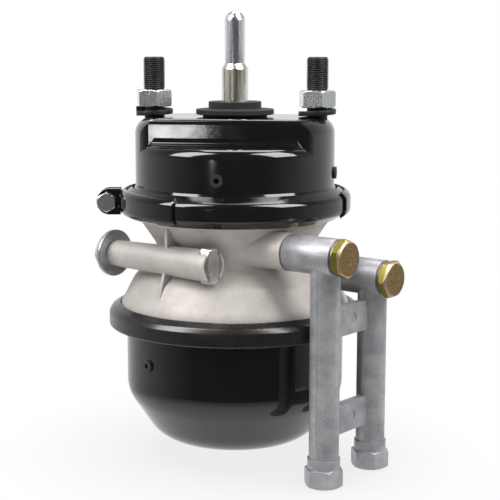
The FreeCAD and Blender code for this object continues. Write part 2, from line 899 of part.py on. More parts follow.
def centre_push_rod():
    """Rod that carries the spring piston's push through the web to the service plate."""
    top = plate_top_z - plate_sheet - membrane - free_gap
    foot = piston_top_z - piston_dish
    collar_top = foot + membrane + centre_collar
    return turned([
        (0, foot, 0),
        (centre_rod_r, foot, 0),
        (centre_rod_r, foot + membrane, 0),
        (centre_collar_r, foot + membrane, 0),
        (centre_collar_r, collar_top, 0),
        (centre_rod_r, collar_top, 0),
        (centre_rod_r, top - centre_pad, 0),
        (centre_pad_r, top - centre_pad, 0),
        (centre_pad_r, top, free_gap),
        (0, top, 0),
    ])


def spring_piston():
    """Pressed plate with a dished centre, a rim round the spring and the bolt socket."""
    top = piston_top_z
    dish = top - piston_dish
    socket_foot = dish - piston_sheet - socket_length
    plate = turned([
        (0, dish, 0),
        (piston_dish_r, dish, piston_round),
        (piston_dish_r, top, piston_round),
        (piston_r, top, piston_round),
        (piston_r, top - piston_sheet - piston_rim, 0),
        (piston_r - piston_sheet, top - piston_sheet - piston_rim, 0),
        (piston_r - piston_sheet, top - piston_sheet, 0),
        (piston_dish_r + piston_sheet, top - piston_sheet, 0),
        (piston_dish_r + piston_sheet, dish - piston_sheet, piston_round),
        (0, dish - piston_sheet, 0),
    ])
    socket = disc(socket_r, socket_foot, dish - piston_sheet)
    socket = socket.cut(disc(socket_bore_r, socket_foot + socket_floor, dish - piston_sheet))
    slot_length = release_head_half_length + free_gap
    slot_width = release_head_half_width + free_gap
    slot = box(-slot_length, slot_length, -slot_width, slot_width,
               socket_foot, socket_foot + socket_floor)
    return fused([plate, socket.cut(slot)])


def power_spring():
    return coil_spring(power_wire_r, power_foot_r, power_top_r, pot_floor_z + pot_sheet,
                       piston_top_z - piston_sheet, power_turns)


def spring_diaphragm():
    """Moulded diaphragm, rolled up into the body and over the raised spring piston."""
    top = piston_top_z
    dish = top - piston_dish
    upper = lower_seat_z
    lower = lower_seat_z - lower_bead
    wall_r = spring_cup_mouth_r - 2 * free_gap
    return turned([
        (centre_rod_r, dish, 0),
        (piston_dish_r, dish, piston_round),
        (piston_dish_r, top, piston_round),
        (piston_r, top, 0),
        (spring_roll_r, top - membrane, membrane),
        (wall_r - membrane, upper, membrane),
        (lower_bead_inner_r - 2 * membrane, lower, 0),
        (lower_rim_r, lower, 0),
        (lower_rim_r, upper, 0),
        (wall_r, upper, 0),
        (wall_r, upper + membrane, membrane),
        (spring_roll_r + membrane, top, membrane),
        (piston_r, top + membrane, 0),
        (piston_dish_r - membrane, top + membrane, membrane),
        (piston_dish_r - membrane, dish + membrane, 0),
        (centre_rod_r, dish + membrane, 0),
    ])


def pot_corners(inset):
    """Corners of the spring housing's cup, from the wall to the middle of the floor."""
    lean = math.atan2(pot_corner_z - pot_floor_z, pot_r - pot_cone_r)
    cone_r = pot_cone_r - inset * math.tan(lean / 2)
    corner_z = pot_corner_z + inset * math.tan((math.pi / 2 - lean) / 2)
    floor_z = pot_floor_z + inset
    return [
        (pot_r - inset, corner_z, pot_corner_round - inset),
        (cone_r, floor_z, pot_floor_round - inset),
        (0, floor_z, 0),
    ]


def spring_housing():
    """Deep-drawn cup with an outward flange that the crimped ring holds."""
    seat = lower_seat_z - lower_bead
    outer = pot_corners(0)
    inner = pot_corners(pot_sheet)
    inner.reverse()
    shell = turned([
        (pot_r - pot_sheet, seat, pot_neck_round),
        (lower_rim_r, seat, 0),
        (lower_rim_r, seat - pot_sheet, 0),
        (pot_r, seat - pot_sheet, pot_neck_round),
    ] + outer + inner)
    shell = shell.cut(disc(release_hole_r, pot_floor_z - pot_sheet, pot_floor_z + 2 * pot_sheet))
    hole = bar_x(vent_r, pot_r - 2 * pot_sheet, pot_r + pot_sheet, 0, spring_vent_z)
    hole.rotate(CENTRE, Z_AXIS, spring_vent_angle)
    return shell.cut(hole)


def crimp_ring():
    """Ring rolled over the body's lower rim and under the spring housing's flange."""
    bottom = lower_seat_z - lower_bead - pot_sheet
    inner_r = ring_r - ring_sheet
    return turned([
        (ring_top_r, ring_top_z, ring_lip_round),
        (ring_shoulder_r, ring_shoulder_z, ring_shoulder_round),
        (ring_r, ring_side_z, ring_round),
        (ring_r, ring_edge_z, ring_round),
        (ring_lip_r, ring_edge_z, 0),
        (ring_lip_r, bottom, 0),
        (inner_r, bottom, 0),
        (inner_r, lower_rim_top_z + seat_gap, 0),
        (ring_top_r, ring_top_z - ring_sheet, 0),
    ])


def dust_plug():
    """Rubber cap in the release hole of the spring housing."""
    top = pot_floor_z + pot_sheet + dust_flange
    low = pot_floor_z - dust_flange
    stem = release_hole_r - free_gap
    return turned([
        (0, low, 0),
        (dust_flange_r, low, dust_round),
        (dust_flange_r, pot_floor_z - seat_gap, 0),
        (stem, pot_floor_z - seat_gap, 0),
        (stem, top, dust_round),
        (stem - dust_flange, top, 0),
        (stem - dust_flange, pot_floor_z, 0),
        (0, pot_floor_z, 0),
    ])


def release_axis(shape):
    """Moves a shape built on +Z to the pocket's axis, +Z towards the bolt's head."""
    shape = along_x(shape)
    shape.translate(V(0, -pocket_offset, pocket_z))
    return port_frame(shape)


def release_bolt():
    """T-headed bolt with which the power spring is drawn back and caged."""
    head_low = pocket_right - release_head + release_head_proud
    tail = pocket_left - release_washer - release_nut - release_tail
    shank = disc(release_r, tail, head_low)
    corners = [V(x, y, head_low) for x, y in (
        (-release_head_half_length, -release_head_end_half_width),
        (release_head_half_length, -release_head_end_half_width),
        (release_head_half_length, release_head_end_half_width),
        (-release_head_half_length, release_head_end_half_width))]
    plan = Part.Wire([
        Part.Arc(corners[0], V(0, -release_head_half_width, head_low), corners[1]).toShape(),
        Part.makeLine(corners[1], corners[2]),
        Part.Arc(corners[2], V(0, release_head_half_width, head_low), corners[3]).toShape(),
        Part.makeLine(corners[3], corners[0]),
    ])
    head = Part.Face(plan).extrude(V(0, 0, release_head))
    head_top = head_low + release_head
    head = rounded_edges(head, release_head_round,
                         lambda edge: edge.BoundBox.ZMin > head_top - seat_gap)
    return release_axis(fused([shank, head]))


def release_washer_ring():
    low = pocket_left - release_washer
    ring = disc(release_washer_r, low, pocket_left)
    return release_axis(ring.cut(disc(release_r + free_gap, low, pocket_left)))


def release_bolt_nut():
    high = pocket_left - release_washer
    low = high - release_nut
    nut = hexagon(nut_flats, low, high, release_nut_turn)
    return release_axis(nut.cut(disc(release_r + thread_gap, low, high)))


def adapter_arm(side, z):
    """One barrel, the tube down from it, its collar and its hexagonal port end."""
    y = side * port_half_spacing
    start = port_face + seal_plate
    barrel = bar_x(barrel_r, start, start + barrel_length, y, z)
    tube = disc(tube_r, tube_foot_z, z, tube_axis, y)
    rib_reach = tube_r + parting_rib_proud
    rib = box(tube_axis - parting_rib_half, tube_axis + parting_rib_half,
              y - rib_reach, y + rib_reach, tube_foot_z + collar_height, z)
    collar = disc(collar_r, tube_foot_z - collar_height, tube_foot_z, tube_axis, y)
    hex_top = tube_foot_z - collar_height
    end = hexagon(port_flats, hex_top - hex_height, hex_top, port_hex_turn)
    end.translate(V(tube_axis, y, 0))
    return [barrel, tube, rib, collar, end]


def adapter_bore(side, z):
    y = side * port_half_spacing
    start = port_face + seal_plate
    foot = tube_foot_z - collar_height - hex_height
    through = bar_x(banjo_r + free_gap, start, start + barrel_length, y, z)
    groove_low = tube_axis - barrel_groove / 2
    groove = bar_x(barrel_groove_r, groove_low, groove_low + barrel_groove, y, z)
    channel = disc(tube_bore_r, foot, z, tube_axis, y)
    port = disc(port_bore_r, foot, foot + port_bore_depth, tube_axis, y)
    return fused([through, groove, channel, port])


def bridge(top):
    """Flat web between the tubes, with the round mark of an ejector pin."""
    plate = box(tube_axis - bridge_plate / 2, tube_axis + bridge_plate / 2,
                -port_half_spacing, port_half_spacing, top - bridge_height, top)
    mark = bar_x(ejector_r, tube_axis + bridge_plate / 2 - ejector_depth,
                 tube_axis + bridge_plate / 2, 0, top - bridge_height / 2)
    return plate.cut(mark)


def port_adapter():
    """One casting that brings both ports down beside the chamber."""
    arms = ((-1, service_port_z), (1, spring_port_z))
    pieces = [bridge(upper_bridge_top_z), bridge(lower_bridge_top_z)]
    for side, z in arms:
        pieces.extend(adapter_arm(side, z))
    casting = fused(pieces)
    for side, z in arms:
        casting = casting.cut(adapter_bore(side, z))
    return port_frame(casting)


def banjo_bolt(side, z):
    """Hollow bolt that holds a barrel and lets the air through to its tube."""
    seat = port_face + seal_plate + barrel_length + seal_plate
    tip = port_face - banjo_reach
    shank = disc(banjo_r, tip, seat)
    turn = service_banjo_turn if side < 0 else spring_banjo_turn
    head = hexagon(banjo_flats, seat, seat + banjo_head, turn, banjo_face_edge, banjo_chamfer_deg)
    bolt = fused([shank, head]).cut(disc(banjo_bore_r, tip, tube_axis + banjo_cross_r))
    cross = Part.makeCylinder(banjo_cross_r, 2 * banjo_r, V(-banjo_r, 0, tube_axis), X_AXIS)
    bolt = along_x(bolt.cut(cross))
    bolt.translate(V(0, side * port_half_spacing, z))
    return port_frame(bolt)


def banjo_seal(side, z, low):
    y = side * port_half_spacing
    ring = bar_x(barrel_r - seal_plate, low, low + seal_plate, y, z)
    return port_frame(ring.cut(bar_x(banjo_r + thread_gap, low, low + seal_plate, y, z)))


def banjo_seals():
    seals = []
    for side, z in ((-1, service_port_z), (1, spring_port_z)):
        seals.append(banjo_seal(side, z, port_face))
        seals.append(banjo_seal(side, z, port_face + seal_plate + barrel_length))
    return seals


def save(name, shapes):
    solids = []
    for shape in shapes:
        solids.extend(shape.Solids)
    whole = solids[0] if len(solids) == 1 else Part.makeCompound(solids)
    whole.exportStep("parts/" + name + ".step")
    print(name, len(solids), round(whole.Volume / 1000, 2), whole.isValid())


def build():
    os.makedirs("parts", exist_ok=True)
    sides = (-1, 1)
    save("service_housing", [service_housing()])
    save("service_vent_plugs", [vent_plug(housing_r, housing_sheet, angle, vent_z)
                                for angle in service_vent_angles])
    save("mounting_studs", [mounting_stud(side) for side in sides])
    save("stud_nuts", [stud_nut(side) for side in sides])
    save("stud_spring_washers", [split_washer(side) for side in sides])
    save("rod_gaiter", [rod_gaiter()])
    save("service_push_rod", [service_push_rod()])
    save("service_push_plate", [service_push_plate()])
    save("service_return_spring", [service_return_spring()])
    save("service_diaphragm", [service_diaphragm()])
    save("clamp_band_front", [clamp_band_half(0)])
    save("clamp_band_rear", [clamp_band_half(180)])
    save("clamp_lug_front", [clamp_lug(1, front_strap_deg)])
    save("clamp_lug_rear", [clamp_lug(-1, front_strap_deg)])
    save("clamp_far_strap", [clamp_far_strap()])
    save("clamp_bolt", [clamp_bolt()])
    save("clamp_nut", [clamp_nut()])
    save("flange_body", [flange_body()])
    save("centre_rod_bush", [centre_rod_bush()])
    save("centre_rod_seals", [centre_rod_seal(side) for side in sides])
    save("centre_push_rod", [centre_push_rod()])
    save("spring_piston", [spring_piston()])
    save("power_spring", [power_spring()])
    save("spring_diaphragm", [spring_diaphragm()])
    save("spring_housing", [spring_housing()])
    save("crimp_ring", [crimp_ring()])
    save("dust_plug", [dust_plug()])
    save("spring_vent_plug", [vent_plug(pot_r, pot_sheet, spring_vent_angle, spring_vent_z)])
    save("release_bolt", [release_bolt()])
    save("release_washer", [release_washer_ring()])
    save("release_nut", [release_bolt_nut()])
    save("port_adapter", [port_adapter()])
    save("banjo_bolts", [banjo_bolt(-1, service_port_z), banjo_bolt(1, spring_port_z)])
    save("banjo_seals", banjo_seals())


build()
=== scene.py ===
import math

import bmesh
import bpy
from mathutils import Matrix, Vector


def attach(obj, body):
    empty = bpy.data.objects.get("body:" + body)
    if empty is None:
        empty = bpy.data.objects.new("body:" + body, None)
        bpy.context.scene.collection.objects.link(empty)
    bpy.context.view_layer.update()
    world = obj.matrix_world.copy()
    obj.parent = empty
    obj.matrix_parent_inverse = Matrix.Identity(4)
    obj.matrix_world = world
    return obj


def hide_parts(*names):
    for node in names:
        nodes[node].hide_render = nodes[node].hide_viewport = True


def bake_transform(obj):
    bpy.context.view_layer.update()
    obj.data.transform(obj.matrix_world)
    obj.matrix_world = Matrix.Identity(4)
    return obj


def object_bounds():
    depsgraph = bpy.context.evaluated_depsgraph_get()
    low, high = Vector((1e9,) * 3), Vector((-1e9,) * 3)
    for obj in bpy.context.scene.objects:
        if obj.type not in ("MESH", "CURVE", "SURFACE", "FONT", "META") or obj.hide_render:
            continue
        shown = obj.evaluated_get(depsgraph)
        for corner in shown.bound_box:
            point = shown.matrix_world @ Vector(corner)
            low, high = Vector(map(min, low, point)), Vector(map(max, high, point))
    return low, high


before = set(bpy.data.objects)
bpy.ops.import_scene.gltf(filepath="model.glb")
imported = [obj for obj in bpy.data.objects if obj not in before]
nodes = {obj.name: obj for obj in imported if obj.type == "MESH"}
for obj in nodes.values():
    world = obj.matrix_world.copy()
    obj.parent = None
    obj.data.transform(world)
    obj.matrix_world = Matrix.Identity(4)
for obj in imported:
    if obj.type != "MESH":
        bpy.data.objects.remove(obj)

# Box of the CAD model; its lowest point sets the floor's height
cad_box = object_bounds()

MM = 0.001
SAME_PLACE = 0.002 * MM
FACE_SLACK = 0.2 * MM
PORT_TURN = math.radians(-30.0)
PORT_AXIS = Vector((math.cos(PORT_TURN), math.sin(PORT_TURN), 0.0))
UP = Vector((0.0, 0.0, 1.0))


# Node helpers

class Graph:
    """Adds nodes to a node tree and feeds their sockets with values or other sockets."""

    def __init__(self, owner):
        owner.use_nodes = True
        self.tree = owner.node_tree

    def add(self, kind, **values):
        node = self.tree.nodes.new(kind)
        for key, value in values.items():
            setattr(node, key, value)
        return node

    def feed(self, socket, value):
        if isinstance(value, bpy.types.NodeSocket):
            self.tree.links.new(value, socket)
        else:
            socket.default_value = value

    def math(self, operation, a, b=0.0, clamp=False):
        node = self.add("ShaderNodeMath", operation=operation, use_clamp=clamp)
        self.feed(node.inputs[0], a)
        self.feed(node.inputs[1], b)
        return node.outputs[0]

    def vector_math(self, operation, a, b=None):
        node = self.add("ShaderNodeVectorMath", operation=operation)
        self.feed(node.inputs[0], a)
        if b is not None:
            self.feed(node.inputs[1], b)
        return node

    def remap(self, value, low, high, to_low=0.0, to_high=1.0, smooth=False):
        node = self.add("ShaderNodeMapRange")
        if smooth:
            node.interpolation_type = "SMOOTHSTEP"
        self.feed(node.inputs["Value"], value)
        node.inputs["From Min"].default_value = low
        node.inputs["From Max"].default_value = high
        node.inputs["To Min"].default_value = to_low
        node.inputs["To Max"].default_value = to_high
        return node.outputs["Result"]


class Shader(Graph):
    """Builds one procedural material around a Principled shader."""

    def __init__(self, name):
        self.material = bpy.data.materials.new(name)
        super().__init__(self.material)
        self.bsdf = self.tree.nodes["Principled BSDF"]
        self.coords = self.add("ShaderNodeTexCoord").outputs["Object"]
        self.normal = None

    def stretched(self, x, y, z):
        """Object coordinates multiplied along each axis."""
        return self.vector_math("MULTIPLY", self.coords, (x, y, z)).outputs[0]

    def along(self, axis):
        """Distance of the shaded point along an axis, in metres."""
        return self.vector_math("DOT_PRODUCT", self.coords, axis).outputs["Value"]

    def noise(self, scale, detail=4.0, rough=0.55, twist=0.0, coords=None):
        node = self.add("ShaderNodeTexNoise")
        self.feed(node.inputs["Vector"], coords or self.coords)
        node.inputs["Scale"].default_value = scale
        node.inputs["Detail"].default_value = detail
        node.inputs["Roughness"].default_value = rough
        node.inputs["Distortion"].default_value = twist
        return node.outputs["Fac"]

    def cells(self, scale):
        node = self.add("ShaderNodeTexVoronoi")
        self.feed(node.inputs["Vector"], self.coords)
        node.inputs["Scale"].default_value = scale
        return node.outputs["Distance"]

    def ramp(self, value, stops):
        node = self.add("ShaderNodeValToRGB")
        self.feed(node.inputs["Fac"], value)
        elements = node.color_ramp.elements
        while len(elements) < len(stops):
            elements.new(0.5)
        for element, (place, colour) in zip(elements, stops):
            element.position = place
            element.color = (*colour, 1.0)
        return node.outputs["Color"]

    def blend(self, factor, a, b):
        node = self.add("ShaderNodeMix", data_type="RGBA")
        self.feed(node.inputs[0], factor)
        for socket, value in ((node.inputs[6], a), (node.inputs[7], b)):
            self.feed(socket, value if isinstance(value, bpy.types.NodeSocket) else (*value, 1.0))
        return node.outputs[2]

    def bump(self, height, strength, distance):
        node = self.add("ShaderNodeBump")
        node.inputs["Strength"].default_value = strength
        node.inputs["Distance"].default_value = distance
        self.feed(node.inputs["Height"], height)
        if self.normal is not None:
            self.feed(node.inputs["Normal"], self.normal)
        self.normal = node.outputs["Normal"]

    def finish(self, colour, rough, **settings):
        self.feed(self.bsdf.inputs["Base Color"],
                  colour if isinstance(colour, bpy.types.NodeSocket) else (*colour, 1.0))
        self.feed(self.bsdf.inputs["Roughness"], rough)
        for key, value in settings.items():
            self.bsdf.inputs[key.replace("_", " ")].default_value = value
        if self.normal is not None:
            self.feed(self.bsdf.inputs["Normal"], self.normal)
        return self.material


# Materials

def enamel(name, tone, low_rough, high_rough, peel, dust=0.5):
    """Black stoving enamel: fine orange peel, faint runs and a little settled dust."""
    s = Shader(name)
    cloud = s.noise(38.0, 5.0, 0.6)
    fine = s.noise(420.0, 3.0, 0.5)
    specks = s.remap(s.noise(1500.0, 2.0, 0.6), 0.70, 0.78)
    grime = s.math("MULTIPLY", specks, s.remap(cloud, 0.42, 0.7))
    tint = s.blend(s.remap(cloud, 0.3, 0.75), tone, tuple(1.7 * v for v in tone))
    colour = s.blend(s.math("MULTIPLY", grime, dust, True), tint, (0.16, 0.145, 0.13))
    rough = s.math("ADD", s.remap(cloud, 0.3, 0.75, low_rough, high_rough),
                   s.math("MULTIPLY", grime, 0.35))
    s.bump(s.noise(260.0, 2.0, 0.4), peel, 0.0004)
    s.bump(fine, peel * 0.5, 0.00015)
    s.bump(specks, peel * 0.7, 0.00006)
    return s.finish(colour, rough, Specular_IOR_Level=0.72, Coat_Weight=0.06,
                    Coat_Roughness=0.05)


def casting(name, dark, light, metallic, low_rough, high_rough, grain, pits=0.2, spots=0.35):
    """Die-cast or blasted alloy: fine grain, flow marks, small pits and dull patches."""
    s = Shader(name)
    flow = s.noise(24.0, 6.0, 0.62, 0.6, s.stretched(1.0, 1.0, 0.45))
    patch = s.noise(75.0, 5.0, 0.6)
    grit = s.noise(2600.0, 2.0, 0.7)
    coarse = s.noise(900.0, 3.0, 0.6)
    pit = s.remap(s.cells(640.0), 0.0, 0.15, 1.0, 0.0)
    pit = s.math("MULTIPLY", pit, s.remap(s.noise(130.0, 3.0), 0.60, 0.68))
    base = s.blend(s.remap(flow, 0.28, 0.72), dark, light)
    mottled = s.blend(s.remap(patch, 0.38, 0.68, 0.0, spots), base,
                      tuple(0.72 * v for v in dark))
    sparkle = s.blend(s.remap(grit, 0.48, 0.72, 0.0, 0.55), mottled,
                      tuple(min(1.0, 1.35 * v) for v in light))
    colour = s.blend(s.math("MULTIPLY", pit, 0.5, True), sparkle, tuple(0.4 * v for v in dark))
    worn = s.noise(210.0, 6.0, 0.7, 0.5)
    rough = s.math("ADD", s.remap(coarse, 0.25, 0.75, low_rough, high_rough),
                   s.remap(worn, 0.35, 0.65, -0.05, 0.07))
    s.bump(worn, grain * 0.5, 0.0004)
    s.bump(coarse, grain, 0.00025)
    s.bump(grit, grain * 0.8, 0.00010)
    s.bump(s.math("MULTIPLY", pit, -1.0), pits, 0.0003)
    return s.finish(colour, rough, Metallic=metallic)


def plating(name, cold, warm, low_rough, high_rough, turned=False):
    """Bright zinc plate: faint colour shift, handling marks and, when turned, marks round Z."""
    s = Shader(name)
    drift = s.noise(60.0, 4.0, 0.6, 0.4)
    tiny = s.noise(1400.0, 3.0, 0.6)
    scuff = s.remap(s.noise(240.0, 6.0, 0.7, 1.5), 0.6, 0.7)
    colour = s.blend(s.remap(drift, 0.35, 0.68), cold, warm)
    colour = s.blend(s.math("MULTIPLY", scuff, 0.35, True), colour, tuple(0.55 * v for v in cold))
    rough = s.math("ADD", s.remap(tiny, 0.3, 0.7, low_rough, high_rough),
                   s.math("MULTIPLY", scuff, 0.12))
    if turned:
        s.bump(s.noise(1700.0, 2.0, 0.5, 0.0, s.stretched(1.0, 1.0, 0.04)), 0.18, 0.00012)
    s.bump(tiny, 0.05, 0.00012)
    return s.finish(colour, rough, Metallic=1.0)


def push_rod_plate(name):
    """Zinc plated rod: bluish pink on the nose, warm ivory on the thicker length below."""
    s = Shader(name)
    step_low = 34.0 * MM
    step_high = 38.5 * MM
    drift = s.noise(45.0, 4.0, 0.6, 0.3, s.stretched(1.0, 1.0, 0.35))
    nose = s.blend(s.remap(drift, 0.35, 0.7), (0.86, 0.88, 0.93), (0.93, 0.84, 0.85))
    body = s.blend(s.remap(drift, 0.3, 0.7), (0.89, 0.84, 0.70), (0.78, 0.77, 0.73))
    colour = s.blend(s.remap(s.along(UP), step_low, step_high), body, nose)
    lines = s.noise(700.0, 3.0, 0.6, 0.0, s.stretched(1.0, 1.0, 0.03))
    smear = s.remap(s.noise(150.0, 5.0, 0.7, 0.8, s.stretched(1.0, 1.0, 0.5)), 0.6, 0.72)
    colour = s.blend(s.math("MULTIPLY", smear, 0.4, True), colour, (0.40, 0.39, 0.38))
    rough = s.remap(lines, 0.3, 0.7, 0.17, 0.34)
    s.bump(lines, 0.22, 0.00015)
    return s.finish(colour, rough, Metallic=1.0)


def chromate(name):
    """Yellow passivated steel: olive to pink interference colours, a painted highlight on the rim,
    a dull stippled end face.
    """
    s = Shader(name)
    drift = s.noise(95.0, 4.0, 0.6, 0.8)
    out = s.along(PORT_AXIS)
    face_start = 123.1 * MM
    face_full = 123.3 * MM
    # Where the painted rim highlight starts and where it is full
    flank_end = 121.3 * MM
    rim_highlight_full = 121.7 * MM
    side = s.ramp(drift, [(0.25, (0.18, 0.175, 0.020)), (0.48, (0.25, 0.225, 0.034)),
                          (0.62, (0.27, 0.20, 0.055)), (0.8, (0.18, 0.18, 0.028))])
    # Painted highlight: pale colours for the rim between flank and end face
    rim_highlight = s.ramp(drift, [(0.3, (0.60, 0.49, 0.23)), (0.6, (0.66, 0.46, 0.32)),
                          (0.8, (0.52, 0.50, 0.17))])
    stipple = s.noise(800.0, 5.0, 0.7)
    face = s.blend(s.remap(stipple, 0.40, 0.62), (0.125, 0.062, 0.030), (0.40, 0.26, 0.12))
    stain = s.remap(s.noise(150.0, 4.0, 0.6), 0.42, 0.66)
    face = s.blend(s.math("MULTIPLY", stain, 0.7), face, (0.20, 0.165, 0.045))
    # Mask of the painted rim highlight
    on_rim_highlight = s.remap(out, flank_end, rim_highlight_full)
    on_face = s.remap(out, face_start, face_full)
    colour = s.blend(on_face, s.blend(on_rim_highlight, side, rim_highlight), face)
    rough = s.math("ADD", s.remap(stipple, 0.3, 0.7, 0.34, 0.46),
                   s.math("MULTIPLY", on_face, 0.08))
    relief = s.math("MULTIPLY", s.remap(stipple, 0.36, 0.66), s.math("ADD", on_face, 0.12))
    s.bump(relief, 0.6, 0.0004)
    return s.finish(colour, rough, Metallic=0.9)


def phosphate(name, tone, worn):
    """Dark phosphated steel, oiled, with metal just showing through on proud places."""
    s = Shader(name)
    drift = s.noise(180.0, 5.0, 0.65)
    grit = s.noise(2200.0, 3.0, 0.6)
    rub = s.remap(s.noise(700.0, 4.0, 0.7), 0.62, 0.74)
    colour = s.blend(s.remap(drift, 0.3, 0.7), tone, tuple(1.8 * v for v in tone))
    colour = s.blend(s.math("MULTIPLY", rub, worn, True), colour, (0.30, 0.29, 0.28))
    s.bump(grit, 0.25, 0.0001)
    return s.finish(colour, s.remap(grit, 0.3, 0.7, 0.36, 0.55), Metallic=0.55)


def rubber(name, tone, rough=0.62, sheen=0.06):
    """Moulded black rubber: matt skin, fine spark-eroded grain and pale bloom."""
    s = Shader(name)
    bloom = s.noise(110.0, 5.0, 0.65)
    grain = s.noise(1900.0, 3.0, 0.65)
    colour = s.blend(s.remap(bloom, 0.35, 0.75), tone, tuple(2.1 * v for v in tone))
    s.bump(grain, 0.22, 0.00012)
    s.bump(s.noise(330.0, 3.0), 0.12, 0.0003)
    return s.finish(colour, s.remap(grain, 0.3, 0.7, rough - 0.08, rough + 0.1),
                    Sheen_Weight=sheen, Sheen_Roughness=0.4, Specular_IOR_Level=0.30)


def spring_steel(name):
    """Oiled spring wire with draw marks and spots of surface rust."""
    s = Shader(name)
    drift = s.noise(160.0, 5.0, 0.65)
    rust = s.remap(s.noise(420.0, 5.0, 0.7), 0.64, 0.74)
    colour = s.blend(s.remap(drift, 0.3, 0.7), (0.06, 0.06, 0.065), (0.13, 0.13, 0.135))
    colour = s.blend(s.math("MULTIPLY", rust, 0.5, True), colour, (0.20, 0.09, 0.04))
    s.bump(s.noise(1500.0, 3.0, 0.6), 0.2, 0.00012)
    return s.finish(colour, s.remap(drift, 0.3, 0.7, 0.3, 0.48), Metallic=0.8)


black_enamel = enamel("black_enamel", (0.0034, 0.0030, 0.0028), 0.07, 0.14, 0.04)
band_enamel = enamel("band_enamel", (0.0032, 0.0028, 0.0026), 0.08, 0.16, 0.06, 0.8)
ring_enamel = enamel("ring_enamel", (0.0065, 0.0055, 0.0048), 0.22, 0.33, 0.08, 0.7)
body_alloy = casting("body_alloy", (0.34, 0.313, 0.292), (0.47, 0.438, 0.412), 0.30,
                     0.44, 0.60, 0.34, 0.35)
adapter_alloy = casting("adapter_alloy", (0.24, 0.241, 0.256), (0.44, 0.44, 0.455), 0.62,
                        0.33, 0.50, 0.34, 0.18, 0.75)
bright_zinc = plating("bright_zinc", (0.76, 0.80, 0.83), (0.81, 0.80, 0.77), 0.22, 0.36)
washer_zinc = plating("washer_zinc", (0.52, 0.56, 0.60), (0.60, 0.61, 0.62), 0.28, 0.42)
plain_steel = plating("plain_steel", (0.46, 0.46, 0.47), (0.52, 0.50, 0.48), 0.26, 0.40,
                      turned=True)
rod_plate = push_rod_plate("rod_plate")
yellow_plate = chromate("yellow_plate")
black_steel = phosphate("black_steel", (0.016, 0.016, 0.017), 0.30)
coated_steel = phosphate("coated_steel", (0.03, 0.03, 0.032), 0.12)
black_rubber = rubber("black_rubber", (0.0100, 0.0098, 0.0106))
plug_rubber = rubber("plug_rubber", (0.020, 0.020, 0.021), 0.40)
spring_wire = spring_steel("spring_wire")
bush_bronze = plating("bush_bronze", (0.52, 0.36, 0.18), (0.60, 0.44, 0.24), 0.28, 0.42)
soft_washer = plating("soft_washer", (0.24, 0.23, 0.24), (0.34, 0.33, 0.33), 0.35, 0.5)

finishes = {
    "service_housing": black_enamel,
    "service_vent_plugs": plug_rubber,
    "mounting_studs": black_steel,
    "stud_nuts": bright_zinc,
    "stud_spring_washers": black_steel,
    "rod_gaiter": black_rubber,
    "service_push_rod": rod_plate,
    "service_push_plate": bright_zinc,
    "service_return_spring": spring_wire,
    "service_diaphragm": black_rubber,
    "clamp_band_front": band_enamel,
    "clamp_band_rear": band_enamel,
    "clamp_lug_front": band_enamel,
    "clamp_lug_rear": band_enamel,
    "clamp_far_strap": band_enamel,
    "clamp_bolt": bright_zinc,
    "clamp_nut": bright_zinc,
    "flange_body": body_alloy,
    "centre_rod_bush": bush_bronze,
    "centre_rod_seals": black_rubber,
    "centre_push_rod": plain_steel,
    "spring_piston": coated_steel,
    "power_spring": spring_wire,
    "spring_diaphragm": black_rubber,
    "spring_housing": black_enamel,
    "crimp_ring": ring_enamel,
    "dust_plug": black_rubber,
    "spring_vent_plug": plug_rubber,
    "release_bolt": bright_zinc,
    "release_washer": washer_zinc,
    "release_nut": bright_zinc,
    "port_adapter": adapter_alloy,
    "banjo_bolts": yellow_plate,
    "banjo_seals": soft_washer,
}
for name, material in finishes.items():
    mesh = nodes[name].data
    mesh.materials.clear()
    mesh.materials.append(material)


# Edges that catch the light: the CAD meshes get a small bevel as a modifier

EDGE_WIDTHS = {
    "stud_nuts": 0.35 * MM,
    "release_nut": 0.35 * MM,
    "clamp_nut": 0.2 * MM,
    "banjo_bolts": 0.3 * MM,
    "port_adapter": 0.5 * MM,
    "release_washer": 0.35 * MM,
    "stud_spring_washers": 0.25 * MM,
    "crimp_ring": 0.4 * MM,
    "clamp_lug_front": 0.3 * MM,
    "clamp_lug_rear": 0.3 * MM,
    "clamp_far_strap": 0.3 * MM,
    "flange_body": 0.6 * MM,
}
SHARP_ANGLE = math.radians(28.0)


def soften(node, width):
    weld = node.modifiers.new("weld", "WELD")
    weld.merge_threshold = SAME_PLACE
    bevel = node.modifiers.new("bevel", "BEVEL")
    bevel.width = width
    bevel.segments = 2
    bevel.limit_method = "ANGLE"
    bevel.angle_limit = SHARP_ANGLE
    bevel.use_clamp_overlap = True
    bevel.harden_normals = True


for name, width in EDGE_WIDTHS.items():
    soften(nodes[name], width)


# Spring side: copies of the diaphragm and the power spring stand in for their CAD nodes

def following(name, node):
    """A copy of a CAD node, baked in place, that stands in for the node, which is hidden."""
    piece = bpy.data.objects.new(name, nodes[node].data.copy())
    bpy.context.scene.collection.objects.link(piece)
    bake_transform(piece)
    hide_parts(node)


following("rolling_spring_diaphragm", "spring_diaphragm")

following("closing_power_spring", "power_spring")


# Screw threads that the CAD model leaves plain

def new_piece(name, build, material, body, node):
    """Turns the build into a piece that rides a body and stands for one CAD node."""
    mesh = bpy.data.meshes.new(name)
    build.normal_update()
    build.to_mesh(mesh)
    build.free()
    piece = bpy.data.objects.new(name, mesh)
    bpy.context.scene.collection.objects.link(piece)
    mesh.materials.append(material)
    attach(piece, body)
    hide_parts(node)


